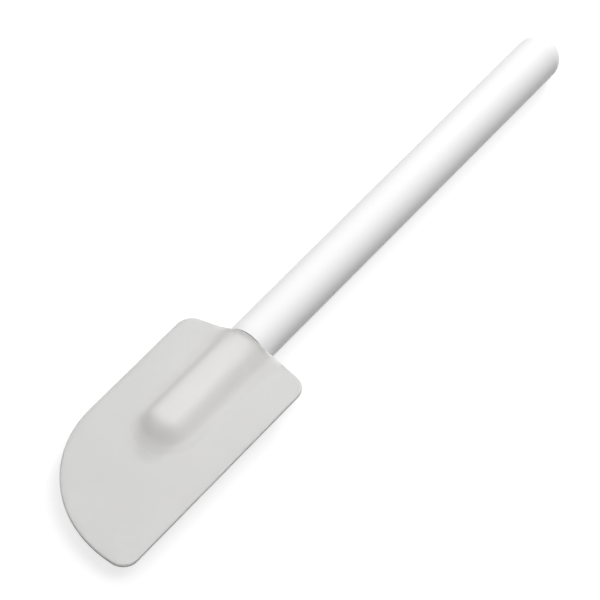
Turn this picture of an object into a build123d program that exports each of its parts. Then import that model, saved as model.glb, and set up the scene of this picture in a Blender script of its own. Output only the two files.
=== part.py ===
from build123d import *
import math
import os

# A silicone spatula: a D-shaped silicone blade pushed onto the tang of a hollow plastic handle.
# Every piece is drawn about the handle's axis, from the handle's end face, with x towards the dome.
# The last step lays the tool on z = 0, with the middle of its footprint at the origin.

# Handle tube: moulded in one piece, open at the blade and closed by a round dome
handle_diameter = 17.0
handle_length = 186.0
rim_taper = 0.2
rim_taper_length = 2.4
seat_bore = 13.0
seat_depth = 30.0
seat_lead_in = 0.5
core_bore = 11.8
dome_wall = 2.6

# Tang plug: closes the tube's mouth and carries the tang
plug_length = 28.0
plug_clearance = 0.05
plug_lead_in = 0.8
plug_core_bore = 8.0
plug_face_wall = 4.0
rib_count = 6
rib_width = 1.2
rib_bite = 0.08
rib_start = 3.0

# Tang: flat and tapered, with cored pockets in both flats
tang_length = 44.0
tang_root_width = 11.0
tang_root_height = 8.4
tang_tip_width = 9.2
tang_tip_height = 6.6
tang_corner = 2.4
tang_tip_chamfer = 1.2
tang_root_flare = 0.5
pocket_count = 2
pocket_length = 13.0
pocket_width = 4.6
pocket_depth = 1.5
pocket_wall = 4.0

# Blade plate: measured from the handle's end face and from the handle's axis
blade_reach = 101.0
curved_side = 25.2
straight_side = 27.0
blade_thickness = 1.6
blade_edge_round = 0.5
tip_corner = 6.0
shoulder_corner = 6.5
shoulder_drop = 2.9
neck_margin = 2.0
neck_bend = 12.0

# Ridge: the round swelling of silicone that holds the tang
ridge_radius = 7.7
ridge_reach = 52.0
ridge_fillet = 3.0
neck_sweep = 2.25
neck_rise = 0.8

# Fits between the blade and the handle
handle_grip = 1.8
handle_gap = 0.25
grip_clearance = 0.15
socket_clearance = 0.08
socket_air = 1.0
socket_mouth = 0.7

# One overrun serves all cuts, and edges are found by their place to within these
overrun = 5.0
place_tolerance = 0.03
upright_tolerance = 0.001

handle_radius = handle_diameter / 2
blade_width = curved_side + straight_side
half_plate = blade_thickness / 2


def round_bar(corners, end_x, end_radius):
    """A solid turned about the handle's axis, through these corners and on to a round end at end_x."""
    towards = math.copysign(1, end_x - corners[0][0])
    last = (end_x - towards * end_radius, end_radius)
    with BuildLine() as line:
        Polyline((corners[0][0], 0), *corners, last)
        CenterArc((last[0], 0), end_radius, 90, -90 * towards)
        Line((end_x, 0), (corners[0][0], 0))
    return revolve(make_face(line.line), Axis.X)


def across_axis(solid, x):
    """The edges that lie in the plane square to the handle's axis at x."""
    return solid.edges().filter_by_position(Axis.X, x - place_tolerance, x + place_tolerance)


def circles(edges, radius):
    return edges.filter_by(GeomType.CIRCLE).filter_by(lambda edge: math.isclose(edge.radius, radius))


def handle_tube():
    rim = [(0, handle_radius - rim_taper), (rim_taper_length, handle_radius)]
    outside = round_bar(rim, handle_length, handle_radius)
    seat = [(-overrun, seat_bore / 2), (seat_depth, seat_bore / 2), (seat_depth, core_bore / 2)]
    tube = outside - round_bar(seat, handle_length - dome_wall, core_bore / 2)
    return chamfer(circles(across_axis(tube, 0), seat_bore / 2), seat_lead_in)


def tang_section(x, clearance):
    """The tang's rounded section at x, grown by a clearance all round."""
    share = -x / tang_length
    width = tang_root_width + (tang_tip_width - tang_root_width) * share
    height = tang_root_height + (tang_tip_height - tang_root_height) * share
    outline = RectangleRounded(height + 2 * clearance, width + 2 * clearance, tang_corner + clearance)
    return Pos(x, 0, 0) * Rot(0, -90, 0) * outline


def tang_taper(length, clearance):
    return loft([tang_section(-length, clearance), tang_section(0, clearance)])


def tang_pockets():
    """Cored pockets, which follow the taper of the tang's flats."""
    pitch = pocket_length + pocket_wall
    slope = (tang_root_height - tang_tip_height) / 2 / tang_length
    slot = extrude(SlotOverall(pocket_length, pocket_width), pocket_depth + overrun)
    cuts = []
    for number in range(pocket_count):
        x = -pocket_wall - pocket_length / 2 - number * pitch
        floor = tang_root_height / 2 + slope * x - pocket_depth
        upper = Pos(x, 0, floor) * slot
        cuts += [upper, Rot(180, 0, 0) * upper]
    return cuts


def tang():
    body = tang_taper(tang_length, 0)
    body = chamfer(across_axis(body, -tang_length), tang_tip_chamfer)
    root = loft([tang_section(-tang_root_flare, 0), tang_section(0, tang_root_flare)])
    return body - tang_pockets() + root


def plug_ribs():
    """Low ribs that the tube squeezes when the plug is pressed in."""
    length = plug_length - plug_lead_in - 2 * rib_start
    height = 2 * (plug_clearance + rib_bite)
    rib = Box(length, rib_width, height, align=(Align.MIN, Align.CENTER, Align.MAX))
    rib = Pos(rib_start, 0, seat_bore / 2 + rib_bite) * rib
    return [Rot(number * 360 / rib_count, 0, 0) * rib for number in range(rib_count)]


def tang_plug():
    radius = seat_bore / 2 - plug_clearance
    lead_in = plug_length - plug_lead_in
    with BuildLine() as line:
        Polyline(
            (0, 0),
            (0, radius),
            (lead_in, radius),
            (plug_length, radius - plug_lead_in),
            (plug_length, plug_core_bore / 2),
            (plug_face_wall, plug_core_bore / 2),
            (plug_face_wall, 0),
            close=True,
        )
    return revolve(make_face(line.line), Axis.X) + plug_ribs() + tang()


def blade_outline():
    """Straight sides, one long sweep from the curved side round to the tip, and small corners."""
    sweep = blade_width - tip_corner
    sweep_x = sweep - blade_reach
    tip_corner_x = tip_corner - blade_reach
    shoulder_x = handle_grip - shoulder_drop
    foot = math.sqrt((ridge_radius + ridge_fillet) ** 2 - (half_plate + ridge_fillet) ** 2)
    neck = foot + neck_margin
    with BuildLine() as line:
        Polyline(
            (sweep_x, curved_side),
            (shoulder_x, curved_side),
            (handle_grip, neck),
            (handle_grip, -neck),
            (shoulder_x, -straight_side),
            (tip_corner_x, -straight_side),
        )
        CenterArc((tip_corner_x, tip_corner - straight_side), tip_corner, -90, -90)
        CenterArc((sweep_x, curved_side - sweep), sweep, 180, -90)
    outline = make_face(line.line)
    shoulders = outline.vertices().filter_by(lambda point: math.isclose(point.X, shoulder_x))
    outline = fillet(shoulders, shoulder_corner)
    bends = outline.vertices().filter_by(lambda point: math.isclose(point.X, handle_grip))
    return fillet(bends, neck_bend)


def blade_blank():
    """Plate and ridge in one, blended by a fillet, before the outline is cut out of them."""
    end_x = handle_grip + overrun
    length = end_x + blade_reach + overrun
    slab = Box(length, 2 * blade_width, blade_thickness, align=(Align.MAX, Align.CENTER, Align.CENTER))
    blank = Pos(end_x, 0, 0) * slab + round_bar([(end_x, ridge_radius)], -ridge_reach, ridge_radius)
    feet = blank.edges().filter_by(lambda edge: math.isclose(abs(edge.center().Z), half_plate))
    feet = feet.filter_by(lambda edge: abs(edge.center().Y) < ridge_radius + half_plate)
    feet = feet.filter_by_position(Axis.X, -ridge_reach, end_x - half_plate)
    return fillet(feet, ridge_fillet)


def upright_walls(solid):
    """The faces that stand square to the plate, flat or curved."""
    return solid.faces().filter_by(lambda face: abs(face.normal_at(face.center()).Z) < upright_tolerance)


def neck_collar():
    """The ridge's last stretch, which sweeps up to the handle's rim."""
    collar = Cone(ridge_radius, ridge_radius + neck_rise, neck_sweep)
    return Pos(-neck_sweep / 2, 0, 0) * Rot(0, 90, 0) * collar


def blade_head():
    outline = extrude(blade_outline(), handle_diameter, both=True)
    head = blade_blank() & outline
    rims = [wall.edges().filter_by(Axis.Z, reverse=True) for wall in upright_walls(head)]
    head = fillet(sum(rims, ShapeList()), blade_edge_round) + neck_collar()
    cup_length = handle_grip + overrun
    cup = Rot(0, 90, 0) * Cylinder(handle_radius + grip_clearance, cup_length)
    head -= Pos(cup_length / 2 - handle_gap, 0, 0) * cup
    ridge_end = across_axis(head, -handle_gap)
    head -= tang_taper(tang_length + socket_air, socket_clearance)
    return chamfer(across_axis(head, -handle_gap) - ridge_end, socket_mouth)


def lay_down(shape):
    """Moves a piece from the handle's end face to its place on the surface that the tool lies on."""
    middle_x = (handle_length - blade_reach) / 2
    middle_y = (curved_side - straight_side) / 2
    return Pos(-middle_x, -middle_y, handle_radius) * shape


if __name__ == "__main__":
    pieces = {"handle_tube": handle_tube(), "tang_plug": tang_plug(), "blade_head": blade_head()}
    os.makedirs("parts", exist_ok=True)
    for name, piece in pieces.items():
        export_step(lay_down(piece), f"parts/{name}.step")
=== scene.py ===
"""Looks of a silicone spatula: a satin silicone blade on the tang of a polished white handle."""

import math

import bmesh
import bpy
from mathutils import Matrix, Vector
from mathutils.geometry import delaunay_2d_cdt


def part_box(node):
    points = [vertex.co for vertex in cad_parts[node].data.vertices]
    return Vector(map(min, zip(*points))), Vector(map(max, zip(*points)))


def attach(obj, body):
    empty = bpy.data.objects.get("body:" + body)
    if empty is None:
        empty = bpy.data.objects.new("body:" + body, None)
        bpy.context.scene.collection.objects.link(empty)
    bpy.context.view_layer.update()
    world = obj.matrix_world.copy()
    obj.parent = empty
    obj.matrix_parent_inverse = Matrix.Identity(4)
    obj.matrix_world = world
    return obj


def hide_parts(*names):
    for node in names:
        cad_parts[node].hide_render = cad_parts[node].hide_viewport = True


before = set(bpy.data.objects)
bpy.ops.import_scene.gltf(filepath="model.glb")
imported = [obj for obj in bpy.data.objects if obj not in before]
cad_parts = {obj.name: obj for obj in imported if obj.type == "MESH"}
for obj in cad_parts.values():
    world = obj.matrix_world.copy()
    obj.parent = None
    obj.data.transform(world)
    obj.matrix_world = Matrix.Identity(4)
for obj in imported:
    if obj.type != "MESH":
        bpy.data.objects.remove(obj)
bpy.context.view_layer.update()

MM = 0.001

# Where the tool lies in the frame: the middle of the handle's end face at the blade
handle_low, handle_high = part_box("handle_tube")
axis_y = (handle_low.y + handle_high.y) / 2
axis_z = (handle_low.z + handle_high.z) / 2
neck = Vector((handle_low.x, axis_y, axis_z))

# The camera of the photograph, found from the handle's sides, its end's ellipse and the blade
camera_aim = Vector((-0.01352, -0.00058, 0.0085))
camera_distance = 1.3384
camera_azimuth = math.radians(-55.62)
camera_elevation = math.radians(49.27)
camera_roll = math.radians(2.98)
camera_lens = 230.17
camera_sensor = 36.0

# The handle's turned profile, in millimetres
handle_sizes = {
    "Length": 186.0,
    "Radius": 8.5,
    "Rim taper": 0.2,
    "Taper length": 2.4,
    "Taper blend": 12.0,
    "Edge round": 0.12,
    "Seat radius": 6.5,
    "Seat depth": 30.0,
    "Lead in": 0.5,
    "Bore radius": 5.9,
    "Dome wall": 2.6,
}

# How finely the handle is drawn: sides round it, points on each arc, and what counts as one point
handle_segments = 128
handle_arc_points = 22
handle_weld = 0.004
handle_sharp_angle = 30

# The blade, in millimetres from the handle's end face and from its axis, with x towards the dome.
# Each corner is its x, its y and the radius that rounds it.
neck_end = 1.8
neck_width = 12.0
curved_side = 25.2
straight_side = 27.0
blade_reach = 101.0
shoulder_x = -1.1
blade_corners = (
    (neck_end, neck_width, 12.0),
    (shoulder_x, curved_side, 6.5),
    (-blade_reach, curved_side, 46.2),
    (-blade_reach, -straight_side, 6.0),
    (shoulder_x, -straight_side, 6.5),
    (neck_end, -neck_width, 12.0),
)
half_plate = 0.8
edge_round = 0.5
blade_sharp_angle = 35

# The ridge that holds the tang: a bar with squared shoulders and a ball end, melted into the plate.
# A squareness of 2 is a circle, which the ridge comes back to between the places of round_again.
ridge_radius = 7.7
ridge_ball_x = -44.3
ridge_squareness = 2.5
ridge_blend = 6.0
ridge_foot_width = 5.5
round_squareness = 2.0
round_again = (-12.0, -3.0)

# Where the ridge meets the handle: it widens slowly, and its last stretch sweeps up to the rim.
# The lip there leans back over the plate, and its edge is nearly sharp.
neck_flare = 1.18
neck_flare_length = 10.0
sweep_start = -2.85
sweep_run = 2.6
sweep_rise = 0.8
sweep_power = 3
lip_slope = 0.367
lip_most = 1.9
lip_start = -1.6
lip_edge_round = 0.12
lip_width = (9.5, 12.5)
handle_gap = 0.25
cup_radius = 8.65
cup_cut_end = 6.0

# How finely the blade is drawn, in millimetres and degrees: its outline, the round of its edge,
# rows along the ridge and its foot, stations across them, and turns round the ball end.
# Inner points keep point_spacing from the edge, and outline points within same_place are one.
outline_step = 1.0
arc_angle = 5.0
edge_arc = 15
row_angle = 6
row_count = 14
foot_row_count = 12
foot_row_power = 1.5
station_pitch = 0.8
station_count = 50
neck_station_start = -4.5
neck_station_pitch = 0.25
neck_station_count = 24
ball_turn = 5
point_spacing = 0.35
same_place = 0.02
mesh_tolerance = 1e-5
height_halvings = 24

# The socket for the tang, from the tang's width and height at its root and at its tip
tang_length = 44.0
tang_root = (11.0, 8.4)
tang_tip = (9.2, 6.6)
tang_corner = 2.4
socket_clearance = 0.08
socket_air = 1.0
socket_mouth = 0.7
socket_step = 0.4
circle_step = 3

# The tang is its own solid, whose triangles are joined where they come this close, in millimetres
tang_weld = 0.002
tang_sharp_angle = 32

# The part of a noise's range that most of it lies in
noise_middle = (0.3, 0.7)

# Studio: a softbox overhead, a lamp low beyond the handle's dome, which shades the ridge's end,
# and a weak wide lamp behind the tool, which lightens the ridge's far side.
# The room is a tent that is white overhead and dark near the floor.
overhead_direction = (0.0, -0.42, 1.0)
overhead_distance = 1.2
overhead_size = 0.7
overhead_power = 5.25
key_direction = (0.85, 0.08, 0.46)
key_distance = 1.6
key_size = 0.4
key_power = 9.9
side_direction = (-0.1, 1.0, 0.5)
side_distance = 1.3
side_size = 0.8
side_power = 1.0
room_fill = 0.78
room_dark_below = 0.25
room_full_above = 0.7

# The floor sends little light back up. Where it shows as background, it is lifted to white.
floor_size = 8.0
floor_bounce = 0.05
floor_white = 0.35
floor_lift = 0.72


def linear(hex_colour):
    """An sRGB hex colour as the linear colour, with alpha, that a shader takes."""
    parts = [int(hex_colour[place:place + 2], 16) / 255 for place in (0, 2, 4)]
    return [
        part / 12.92 if part <= 0.04045 else ((part + 0.055) / 1.055) ** 2.4
        for part in parts
    ] + [1.0]


def add_node(tree, kind, links=None, **settings):
    """Adds a node. Settings are its properties or, by name, its inputs.

    Links go from the name or number of an input to the output that feeds it.
    """
    node = tree.nodes.new(kind)
    for name, value in settings.items():
        if hasattr(node, name):
            setattr(node, name, value)
        else:
            node.inputs[name.replace("_", " ")].default_value = value
    for name, output in (links or {}).items():
        tree.links.new(output, node.inputs[name])
    return node


def new_material(name):
    """A material with an empty node tree."""
    material = bpy.data.materials.new(name)
    material.use_nodes = True
    material.node_tree.nodes.clear()
    return material, material.node_tree


def noise(tree, size_mm, stretch=(1, 1, 1), detail=2.0):
    """Noise whose patches are about size_mm across, or that many times longer along an axis."""
    place = add_node(tree, "ShaderNodeTexCoord").outputs["Object"]
    scaled = add_node(tree, "ShaderNodeMapping", {"Vector": place})
    scaled.inputs["Scale"].default_value = [1 / (share * size_mm * MM) for share in stretch]
    links = {"Vector": scaled.outputs[0]}
    return add_node(tree, "ShaderNodeTexNoise", links, Scale=1.0, Detail=detail).outputs["Fac"]


def ranged(tree, value, low, high, first=0.0, last=1.0, **settings):
    """A value that goes from low to high while the given one goes from first to last."""
    limits = {"From_Min": first, "From_Max": last, "To_Min": low, "To_Max": high}
    node = add_node(tree, "ShaderNodeMapRange", {"Value": value}, **limits, **settings)
    return node.outputs["Result"]


def spread(tree, pattern, low, high):
    """A noise's middle range, spread from low to high."""
    return ranged(tree, pattern, low, high, *noise_middle)


def tinted(tree, pattern, first, second):
    """A colour that drifts between two hex colours with a pattern."""
    share = spread(tree, pattern, 0.0, 1.0)
    mixed = add_node(tree, "ShaderNodeMix", {"Factor": share}, data_type="RGBA")
    mixed.inputs["A"].default_value = linear(first)
    mixed.inputs["B"].default_value = linear(second)
    return mixed.outputs["Result"]


def relief(tree, layers):
    """Bumps laid on each other, each a pattern and its height in millimetres."""
    normal = None
    for pattern, height_mm in layers:
        bump = add_node(tree, "ShaderNodeBump", {"Height": pattern})
        bump.inputs["Distance"].default_value = height_mm * MM
        if normal:
            tree.links.new(normal, bump.inputs["Normal"])
        normal = bump.outputs[0]
    return normal


def finished(tree, colour, roughness, normal, **settings):
    """The surface shader of a material, with its uniform values set on its own sockets."""
    links = {"Base Color": colour, "Roughness": roughness, "Normal": normal}
    shader = add_node(tree, "ShaderNodeBsdfPrincipled", links, **settings)
    add_node(tree, "ShaderNodeOutputMaterial", {"Surface": shader.outputs[0]})
    return shader


def moulded_silicone():
    """Platinum-cured silicone, pressed in a fine-blasted steel mould.

    Light goes a few millimetres into it, so the ridge looks soft and the plate a little darker.
    The blasted mould leaves a grain that turns the gloss into satin, and handling makes it uneven.
    The real grain, of about 0.05 mm, is too fine to show, so it is drawn 0.35 mm across.
    """
    material, tree = new_material("moulded_silicone")
    grain = noise(tree, 0.35, detail=3.0)
    cloud = noise(tree, 28.0)
    handling = noise(tree, 7.0, stretch=(2.5, 1, 1), detail=3.0)
    shader = finished(
        tree,
        tinted(tree, cloud, "D9D8D6", "DCDBD9"),
        spread(tree, handling, 0.42, 0.52),
        relief(tree, [(cloud, 0.02), (grain, 0.006)]),
        IOR=1.41,
    )
    shader.inputs["Subsurface Weight"].default_value = 1.0
    shader.inputs["Subsurface Radius"].default_value = (1.0, 0.985, 0.97)
    shader.inputs["Subsurface Scale"].default_value = 6.0 * MM
    return material


def polished_plastic():
    """White ABS, moulded in a polished tube cavity.

    The polish gives one broad soft highlight along the handle.
    Cooling leaves faint long waves in it, and wiping leaves hairlines along it.
    Real hairlines, of about 0.02 mm, are too fine to show, so they are drawn 0.25 mm across.
    """
    material, tree = new_material("polished_white_abs")
    waves = noise(tree, 5.0, stretch=(6, 1, 1), detail=1.0)
    hairlines = noise(tree, 0.25, stretch=(60, 1, 1))
    finished(
        tree,
        tinted(tree, noise(tree, 40.0), "EFEFEF", "F1F1F1"),
        spread(tree, hairlines, 0.2, 0.28),
        relief(tree, [(waves, 0.012)]),
        IOR=1.52,
    )
    return material


def natural_nylon():
    """Unpainted nylon 6, moulded in a spark-eroded cavity.

    It is a milky off-white, a little see-through, with the even grain that spark erosion leaves.
    The real grain, of about 0.05 mm, is too fine to show, so it is drawn 0.3 mm across.
    """
    material, tree = new_material("natural_nylon")
    grain = noise(tree, 0.3, detail=3.0)
    shader = finished(
        tree,
        tinted(tree, noise(tree, 12.0), "E2DFD5", "E7E4DB"),
        spread(tree, grain, 0.4, 0.5),
        relief(tree, [(grain, 0.01)]),
        IOR=1.53,
    )
    shader.inputs["Subsurface Weight"].default_value = 0.4
    shader.inputs["Subsurface Radius"].default_value = (1.0, 0.9, 0.75)
    shader.inputs["Subsurface Scale"].default_value = 1.5 * MM
    return material


def welded_copy(node, name, body):
    """A copy of a piece with its triangles joined and its faces smooth up to the sharp edges."""
    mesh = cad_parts[node].data.copy()
    work = bmesh.new()
    work.from_mesh(mesh)
    bmesh.ops.remove_doubles(work, verts=work.verts, dist=tang_weld * MM)
    work.to_mesh(mesh)
    work.free()
    piece = bpy.data.objects.new(name, mesh)
    bpy.context.scene.collection.objects.link(piece)
    mesh.shade_smooth()
    mesh.set_sharp_from_angle(angle=math.radians(tang_sharp_angle))
    piece.modifiers.new("weighted", "WEIGHTED_NORMAL").keep_sharp = True
    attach(piece, body)
    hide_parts(node)
    return piece


def smoothstep(low, high, value):
    """0 up to low and 1 from high on, with an even bend between them."""
    share = min(max((value - low) / (high - low), 0.0), 1.0)
    return share * share * (3 - 2 * share)


def rounded(corners, arc_step):
    """Points round a closed polygon whose corners, given as x, y and radius, are rounded."""
    points = []
    for number, (x, y, radius) in enumerate(corners):
        corner = Vector((x, y))
        before = (Vector(corners[number - 1][:2]) - corner).normalized()
        after = (Vector(corners[(number + 1) % len(corners)][:2]) - corner).normalized()
        half = before.angle(after) / 2
        centre = corner + (before + after).normalized() * radius / math.sin(half)
        first = corner + before * radius / math.tan(half) - centre
        turn = math.copysign(math.pi - 2 * half, first.cross(corner - centre))
        by_length = round(abs(turn) * radius / arc_step)
        steps = max(2, by_length, round(abs(math.degrees(turn)) / arc_angle))
        for step in range(steps + 1):
            angle = turn * step / steps
            cos, sin = math.cos(angle), math.sin(angle)
            point = centre + Vector((first.x * cos - first.y * sin, first.x * sin + first.y * cos))
            if not points or (point - points[-1]).length > same_place:
                points.append(point)
    return points


def ring_inside(points, offsets):
    """The closed outline moved inwards by an offset at each point, square to itself."""
    ring = []
    for number, (point, offset) in enumerate(zip(points, offsets)):
        along = (points[(number + 1) % len(points)] - points[number - 1]).normalized()
        ring.append(point + offset * Vector((-along.y, along.x)))
    return ring


def ridge_profile(distance, squareness):
    """Height of the silicone above the blade's middle plane, at a distance from the ridge's axis.

    The ridge's section is a circle with slightly squared shoulders, melted into the plate.
    The height is found by halving the stretch that it lies in.
    """
    low, high = half_plate, ridge_radius + half_plate
    for _ in range(height_halvings):
        height = (low + high) / 2
        reach = (distance ** squareness + height ** squareness) ** (1 / squareness)
        to_ridge = reach - ridge_radius
        to_plate = height - half_plate
        melt = max(ridge_blend - abs(to_ridge - to_plate), 0.0) ** 2 / (4 * ridge_blend)
        if min(to_ridge, to_plate) - melt > 0:
            high = height
        else:
            low = height
    return low


def neck_widening(x):
    """How many times wider the ridge is at x than at its ball end."""
    return 1 + (neck_flare - 1) * smoothstep(-neck_flare_length, 0.0, x)


def blade_height(x, y):
    """Half thickness of the silicone, with the ridge widened and swept up at the handle."""
    distance = math.hypot(min(x - ridge_ball_x, 0.0), y)
    rounder = smoothstep(*round_again, x)
    squareness = ridge_squareness + (round_squareness - ridge_squareness) * rounder
    swell = ridge_profile(distance / neck_widening(x), squareness) - half_plate
    along = min(max(x - lip_slant(x, swell) - sweep_start, 0.0) / sweep_run, 1.0)
    rise = sweep_rise * along ** sweep_power / (ridge_radius - half_plate)
    return half_plate + swell * (1 + rise)


def lip_slant(x, swell):
    """How far the neck's end leans back over the plate, to end level with the handle's end face."""
    return min(lip_slope * swell, lip_most) * smoothstep(lip_start, neck_end, x)


def edge_round_at(point):
    """The blade's edge is rounded all round, but the lip at the handle ends nearly sharp."""
    lip = smoothstep(lip_start, neck_end, point.x) * (1 - smoothstep(*lip_width, abs(point.y)))
    return edge_round + (lip_edge_round - edge_round) * lip


def well_inside(point, ring):
    """Whether a point lies inside a closed ring, and not close to it."""
    x, y = point
    inside = False
    for (ax, ay), (bx, by) in zip(ring, ring[1:] + ring[:1]):
        if math.hypot(x - ax, y - ay) < point_spacing:
            return False
        if (ay > y) != (by > y) and x < ax + (y - ay) * (bx - ax) / (by - ay):
            inside = not inside
    return inside


def blade_points():
    """Where the blade has its points: rings round its edge, and rows along and round the ridge."""
    outline = rounded(blade_corners, outline_step)
    rounds = [edge_round_at(point) for point in outline]
    rings = []
    for angle in range(0, 91, edge_arc):
        inwards = 1 - math.cos(math.radians(angle))
        rings.append(ring_inside(outline, [size * inwards for size in rounds]))
    angles = [math.radians(row_angle * step) for step in range(1, row_count + 1)]
    rows = [ridge_radius * math.sin(angle) for angle in angles]
    shares = [(step / foot_row_count) ** foot_row_power for step in range(foot_row_count + 1)]
    rows += [ridge_radius + ridge_foot_width * share for share in shares]
    stations = [ridge_ball_x + station_pitch * step for step in range(station_count)]
    neck_steps = range(neck_station_count)
    stations += [neck_station_start + neck_station_pitch * step for step in neck_steps]
    inner = []
    for x in stations:
        inner.append((x, 0.0))
        inner += [(x, side * row * neck_widening(x)) for row in rows for side in (-1, 1)]
    for turn in range(ball_turn, 180, ball_turn):
        angle = math.radians(90 + turn)
        inner += [(ridge_ball_x + row * math.cos(angle), row * math.sin(angle)) for row in rows]
    return rings, rounds, [point for point in inner if well_inside(point, rings[-1])]


def blade_mesh():
    """The blade's closed mesh: both faces, the rounds of its edge, and the band between them."""
    rings, rounds, inner = blade_points()
    edge = rings[-1]
    count = len(edge)
    flat = [Vector(point) for point in edge] + [Vector(point) for point in inner]
    border = [(number, (number + 1) % count) for number in range(count)]
    points, _, faces, _, _, _ = delaunay_2d_cdt(flat, border, [], 1, mesh_tolerance)
    work = bmesh.new()

    def place(point, drop, side):
        x, y = point
        height = blade_height(x, y)
        return work.verts.new((x - lip_slant(x, height - half_plate), y, side * (height - drop)))

    for side in (1, -1):
        inside = [place(point, 0.0, side) for point in points]
        for face in faces:
            work.faces.new([inside[number] for number in face][::side])
        previous = [inside[number] for number in range(count)]
        for step in range(len(rings) - 2, -1, -1):
            share = 1 - math.sin(math.radians(step * edge_arc))
            ring = zip(rings[step], rounds)
            current = [place(point, size * share, side) for point, size in ring]
            for number in range(count):
                after = (number + 1) % count
                corners = [previous[after], previous[number], current[number], current[after]]
                work.faces.new(corners[::side])
            previous = current
        if side == 1:
            upper = previous
    for number in range(count):
        after = (number + 1) % count
        work.faces.new([upper[after], upper[number], previous[number], previous[after]])
    bmesh.ops.recalc_face_normals(work, faces=work.faces)
    mesh = bpy.data.meshes.new("blade")
    work.to_mesh(mesh)
    work.free()
    return mesh


def cutter(sections):
    """A closed solid through sections, each an x and the points of its outline as y and z."""
    work = bmesh.new()
    rows = [[work.verts.new((x, y, z)) for y, z in points] for x, points in sections]
    count = len(rows[0])
    for first, second in zip(rows, rows[1:]):
        for number in range(count):
            following = (number + 1) % count
            work.faces.new((first[number], first[following], second[following], second[number]))
    work.faces.new(rows[0])
    work.faces.new(rows[-1])
    bmesh.ops.recalc_face_normals(work, faces=work.faces)
    mesh = bpy.data.meshes.new("cutter")
    work.to_mesh(mesh)
    work.free()
    return mesh


def section_box(width, height, corner):
    """A rounded rectangle across the axis."""
    quarters = ((1, 1), (-1, 1), (-1, -1), (1, -1))
    corners = [(y * width / 2, z * height / 2, corner) for y, z in quarters]
    return [tuple(point) for point in rounded(corners, socket_step)]


def section_round(radius):
    """A circle across the axis."""
    angles = [math.radians(angle) for angle in range(0, 360, circle_step)]
    return [(radius * math.cos(angle), radius * math.sin(angle)) for angle in angles]


def cut(piece, mesh):
    """Cuts a closed mesh out of a piece."""
    tool = bpy.data.objects.new("cutter", mesh)
    bpy.context.scene.collection.objects.link(tool)
    modifier = piece.modifiers.new("cut", "BOOLEAN")
    modifier.operation = "DIFFERENCE"
    modifier.solver = "EXACT"
    modifier.object = tool
    bake(piece)
    bpy.data.objects.remove(tool)


def bake(piece):
    """Turns a piece's modifiers into its plain mesh."""
    depsgraph = bpy.context.evaluated_depsgraph_get()
    mesh = bpy.data.meshes.new_from_object(piece.evaluated_get(depsgraph))
    piece.modifiers.clear()
    piece.data = mesh


def settle(piece, sharp_angle):
    """Moves a piece, drawn in millimetres about the handle's end, to its place and smooths it."""
    piece.data.transform(Matrix.Translation(neck) @ Matrix.Scale(MM, 4))
    piece.data.shade_smooth()
    piece.data.set_sharp_from_angle(angle=math.radians(sharp_angle))


def socket_section(x, flare):
    """The socket's section at x: the tapering tang's, grown by the clearance and by a flare."""
    share = -x / tang_length
    grown = socket_clearance + flare
    sizes = [root + (tip - root) * share + 2 * grown for root, tip in zip(tang_root, tang_tip)]
    return section_box(*sizes, tang_corner + grown)


def silicone_blade():
    """The blade, with its cup for the handle's end and its socket for the tang."""
    piece = bpy.data.objects.new("blade", blade_mesh())
    bpy.context.scene.collection.objects.link(piece)
    cup = section_round(cup_radius)
    cut(piece, cutter([(-handle_gap, cup), (cup_cut_end, cup)]))
    mouth = handle_gap + socket_mouth
    depths = ((-tang_length - socket_air, 0.0), (-mouth, 0.0), (0.0, mouth))
    cut(piece, cutter([(x, socket_section(x, flare)) for x, flare in depths]))
    settle(piece, blade_sharp_angle)
    piece.modifiers.new("weighted", "WEIGHTED_NORMAL").keep_sharp = True
    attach(piece, "head")
    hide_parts("blade_head")
    return piece


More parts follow.
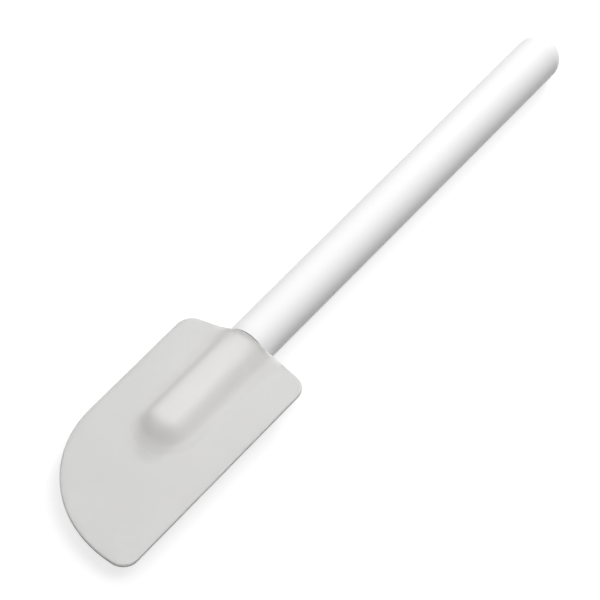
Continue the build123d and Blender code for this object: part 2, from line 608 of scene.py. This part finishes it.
def turned_profile():
    """A Geometry Nodes tree that turns the handle's profile, with its sizes as named inputs."""
    tree = bpy.data.node_groups.new("turned_handle", "GeometryNodeTree")
    tree.interface.new_socket("Geometry", in_out="OUTPUT", socket_type="NodeSocketGeometry")
    sizes = {}
    for name, value in handle_sizes.items():
        socket = tree.interface.new_socket(name, in_out="INPUT", socket_type="NodeSocketFloat")
        socket.default_value = value
        sizes[name] = socket.identifier
    kind = "NodeSocketMaterial"
    socket = tree.interface.new_socket("Material", in_out="INPUT", socket_type=kind)
    sizes["Material"] = socket.identifier
    given = add_node(tree, "NodeGroupInput")
    zero = add_node(tree, "ShaderNodeValue")

    def minus(first, second):
        links = {0: first, 1: second}
        return add_node(tree, "ShaderNodeMath", links, operation="SUBTRACT").outputs[0]

    length, radius, wall = (given.outputs[name] for name in ("Length", "Radius", "Dome wall"))
    bore, seat = given.outputs["Bore radius"], given.outputs["Seat radius"]
    lead = given.outputs["Lead in"]
    taper = minus(radius, given.outputs["Rim taper"])
    mouth = add_node(tree, "ShaderNodeMath", {0: seat, 1: lead}, operation="ADD").outputs[0]
    inner_end = minus(length, wall)
    none = zero.outputs[0]
    small = given.outputs["Edge round"]
    corners = (
        (length, none, none),
        (length, radius, radius),
        (given.outputs["Taper length"], radius, given.outputs["Taper blend"]),
        (none, taper, small),
        (none, mouth, small),
        (lead, seat, none),
        (given.outputs["Seat depth"], seat, none),
        (given.outputs["Seat depth"], bore, small),
        (inner_end, bore, bore),
        (inner_end, none, none),
    )
    index = {"Index": add_node(tree, "GeometryNodeInputIndex").outputs[0]}
    place = add_node(tree, "GeometryNodeIndexSwitch", index, data_type="VECTOR")
    bend = add_node(tree, "GeometryNodeIndexSwitch", index, data_type="FLOAT")
    for number, (along, out, round_radius) in enumerate(corners):
        if number > 1:
            place.index_switch_items.new()
            bend.index_switch_items.new()
        point = add_node(tree, "ShaderNodeCombineXYZ", {"X": minus(out, radius), "Y": along})
        tree.links.new(point.outputs[0], place.inputs[number + 1])
        tree.links.new(round_radius, bend.inputs[number + 1])
    places = {"Position": place.outputs[0]}
    points = add_node(tree, "GeometryNodePoints", places, Count=len(corners))
    line = add_node(tree, "GeometryNodePointsToCurves", {"Points": points.outputs[0]})
    smooth = add_node(
        tree,
        "GeometryNodeFilletCurve",
        {"Curve": line.outputs[0], "Radius": bend.outputs[0]},
        mode="POLY",
        Count=handle_arc_points,
        Limit_Radius=True,
    )
    circle = add_node(
        tree,
        "GeometryNodeCurvePrimitiveCircle",
        {"Radius": radius},
        Resolution=handle_segments,
    )
    up = add_node(tree, "GeometryNodeSetCurveNormal", {"Curve": circle.outputs[0]}, mode="Z_UP")
    curves = {"Curve": up.outputs[0], "Profile Curve": smooth.outputs[0]}
    turned = {"Geometry": add_node(tree, "GeometryNodeCurveToMesh", curves).outputs[0]}
    closed = add_node(tree, "GeometryNodeMergeByDistance", turned, Distance=handle_weld)
    real = add_node(tree, "GeometryNodeRealizeInstances", {"Geometry": closed.outputs[0]})
    dressed = {"Geometry": real.outputs[0], "Material": given.outputs["Material"]}
    finish = add_node(tree, "GeometryNodeSetMaterial", dressed)
    add_node(tree, "NodeGroupOutput", {"Geometry": finish.outputs[0]})
    return tree, sizes


def plastic_handle(material):
    """The hollow handle, turned about z by Geometry Nodes and then laid along x."""
    tree, sizes = turned_profile()
    piece = bpy.data.objects.new("handle", bpy.data.meshes.new("handle"))
    bpy.context.scene.collection.objects.link(piece)
    modifier = piece.modifiers.new("turned", "NODES")
    modifier.node_group = tree
    modifier[sizes["Material"]] = material
    for name, value in handle_sizes.items():
        modifier[sizes[name]] = value
    bake(piece)
    piece.data.transform(Matrix.Rotation(math.radians(-90), 4, "Y"))
    work = bmesh.new()
    work.from_mesh(piece.data)
    bmesh.ops.recalc_face_normals(work, faces=work.faces)
    work.to_mesh(piece.data)
    work.free()
    settle(piece, handle_sharp_angle)
    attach(piece, "handle")
    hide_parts("handle_tube")
    return piece


def dress(piece, material):
    """Gives a piece its material."""
    piece.data.materials.clear()
    piece.data.materials.append(material)


def set_camera():
    """Sets the camera at the photograph's place, turned about its line of sight by the roll."""
    level = Matrix.Rotation(camera_azimuth, 3, "Z")
    back = level @ Vector((0, -math.cos(camera_elevation), math.sin(camera_elevation)))
    right = level @ Vector((1, 0, 0))
    up = back.cross(right)
    turn = Matrix.Rotation(camera_roll, 3, back)
    axes = Matrix((turn @ right, turn @ up, back)).transposed()
    data = bpy.data.cameras.new("camera")
    data.lens = camera_lens
    data.sensor_width = camera_sensor
    camera = bpy.data.objects.new("camera", data)
    camera.matrix_world = Matrix.Translation(camera_aim + camera_distance * back) @ axes.to_4x4()
    bpy.context.scene.collection.objects.link(camera)
    bpy.context.scene.camera = camera


def area_light(name, direction, distance, size, power):
    """A round lamp that looks at the middle of the tool."""
    data = bpy.data.lights.new(name, "AREA")
    data.shape = "DISK"
    data.size = size
    data.energy = power
    lamp = bpy.data.objects.new(name, data)
    lamp.location = Vector(direction).normalized() * distance
    lamp.rotation_mode = "QUATERNION"
    lamp.rotation_quaternion = lamp.location.to_track_quat("Z", "Y")
    bpy.context.scene.collection.objects.link(lamp)


def pale_rays(tree):
    """1 for the rays that show a background: the camera's, and those of gloss and clear things."""
    rays = add_node(tree, "ShaderNodeLightPath")
    seen = rays.outputs["Is Camera Ray"]
    for kind in ("Is Glossy Ray", "Is Transmission Ray"):
        links = {0: seen, 1: rays.outputs[kind]}
        seen = add_node(tree, "ShaderNodeMath", links, operation="MAXIMUM").outputs[0]
    return seen


def floor():
    """A plain pale floor, which keeps the tool's shadow."""
    bpy.ops.mesh.primitive_plane_add(size=floor_size)
    plane = bpy.context.object
    plane.name = "floor"
    material, tree = new_material("pale_floor")
    seen = pale_rays(tree)
    tone = ranged(tree, seen, floor_bounce, floor_white)
    lift = ranged(tree, seen, 0.0, floor_lift)
    diffuse = add_node(tree, "ShaderNodeBsdfDiffuse", {"Color": tone})
    glow = add_node(tree, "ShaderNodeEmission", {"Strength": lift})
    both = add_node(tree, "ShaderNodeAddShader", {0: diffuse.outputs[0], 1: glow.outputs[0]})
    add_node(tree, "ShaderNodeOutputMaterial", {"Surface": both.outputs[0]})
    plane.data.materials.append(material)


def studio():
    """The lamps and the room, which is white where it shows as background and a tent elsewhere."""
    world = bpy.data.worlds.new("studio")
    world.use_nodes = True
    tree = world.node_tree
    tree.nodes.clear()
    towards = add_node(tree, "ShaderNodeTexCoord").outputs["Generated"]
    height = add_node(tree, "ShaderNodeSeparateXYZ", {0: towards}).outputs["Z"]
    heights = (room_dark_below, room_full_above)
    tent = ranged(tree, height, 0.0, room_fill, *heights, interpolation_type="SMOOTHSTEP")
    strength = add_node(tree, "ShaderNodeMapRange", {"Value": pale_rays(tree), "To Min": tent})
    room = add_node(tree, "ShaderNodeBackground", {"Strength": strength.outputs["Result"]})
    room.inputs["Color"].default_value = (1, 1, 1, 1)
    add_node(tree, "ShaderNodeOutputWorld", {"Surface": room.outputs[0]})
    bpy.context.scene.world = world
    area_light("overhead", overhead_direction, overhead_distance, overhead_size, overhead_power)
    area_light("key", key_direction, key_distance, key_size, key_power)
    area_light("side", side_direction, side_distance, side_size, side_power)


blade = silicone_blade()
polished = polished_plastic()
handle = plastic_handle(polished)
tang = welded_copy("tang_plug", "tang", "handle")
dress(blade, moulded_silicone())
dress(handle, polished)
dress(tang, natural_nylon())
set_camera()
floor()
studio()
bpy.context.scene.view_settings.view_transform = "Standard"
